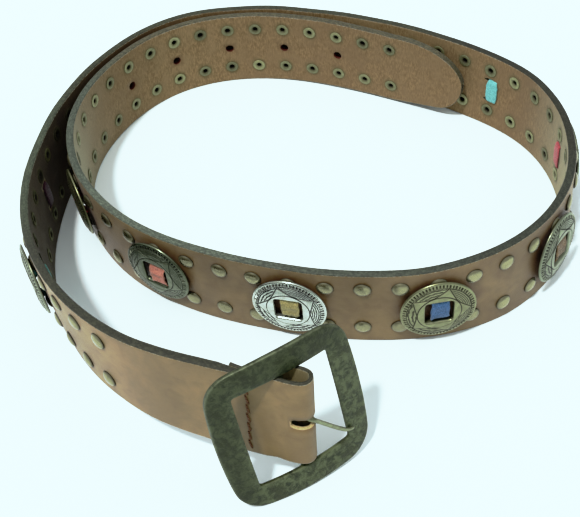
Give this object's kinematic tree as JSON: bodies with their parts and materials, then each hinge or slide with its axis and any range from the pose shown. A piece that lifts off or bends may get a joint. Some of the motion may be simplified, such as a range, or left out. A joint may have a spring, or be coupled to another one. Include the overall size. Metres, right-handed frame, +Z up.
{
  "type": "studded belt",
  "caption": "Leather belt with two rows of dome studs, laced conchos and a square centre-bar buckle, standing unfastened in a loose coil.",
  "frame": {"origin": "on the surface that the belt stands on, under the middle of the whole coil", "axes": "+Z up, square to the surface the coil stands on; the buckle is at the coil's -Y side and the strap's free tip is inside its +Y side"},
  "size_m": [0.2418, 0.2662, 0.0643],
  "materials": {
    "leather": "smooth waxed grain outside, tan suede inside, dark painted edges",
    "stud_brass": "antiqued, soft sheen",
    "concho_brass": "antiqued with dark engraved lines",
    "concho_dark": "dark antique",
    "concho_silver": "polished with black engraved lines",
    "concho_nickel": "antiqued nickel",
    "buckle_bronze": "dark mottled bronze with rubbed edges",
    "tongue_bronze": "rubbed bronze",
    "lace_rose": "dyed suede",
    "lace_orange": "dyed suede",
    "lace_cream": "dyed suede",
    "lace_blue": "dyed suede",
    "lace_rust": "dyed suede",
    "lace_cyan": "dyed suede",
    "lace_teal": "dyed suede",
    "lace_plum": "dyed suede",
    "lace_green": "dyed suede"
  },
  "bodies": {
    "belt": {"strap": "leather", "studs_upper_1": "stud_brass", "studs_lower_1": "stud_brass", "studs_upper_2": "stud_brass", "studs_lower_2": "stud_brass", "studs_upper_3": "stud_brass", "studs_lower_3": "stud_brass", "studs_upper_4": "stud_brass", "studs_lower_4": "stud_brass", "concho_01": "concho_brass", "lace_01": "lace_rose", "concho_02": "concho_dark", "lace_02": "lace_orange", "concho_03": "concho_silver", "lace_03": "lace_cream", "concho_04": "concho_brass", "lace_04": "lace_blue", "concho_05": "concho_nickel", "lace_05": "lace_rust", "concho_06": "concho_dark", "lace_06": "lace_rose", "concho_07": "concho_brass", "lace_07": "lace_cyan", "concho_08": "concho_silver", "lace_08": "lace_green", "concho_09": "concho_brass", "lace_09": "lace_orange", "concho_10": "concho_dark", "lace_10": "lace_cream", "concho_11": "concho_nickel", "lace_11": "lace_blue", "concho_12": "concho_brass", "lace_12": "lace_plum", "concho_13": "concho_nickel", "lace_13": "lace_teal"},
    "buckle": {"buckle_frame": "buckle_bronze"},
    "tongue": {"tongue": "tongue_bronze"}
  },
  "joints": [
    {"name": "frame_on_fold", "type": "hinge", "parent": "belt", "child": "buckle", "pos_m": [-0.01315, -0.11765, 0.03189], "axis": [-0.1373, 0.1707, 0.9757], "range_deg": [-3, 30]},
    {"name": "tongue_on_bar", "type": "hinge", "parent": "buckle", "child": "tongue", "pos_m": [-0.01315, -0.11765, 0.03189], "axis": [-0.1373, 0.1707, 0.9757], "range_deg": [-38, 0]}
  ]
}
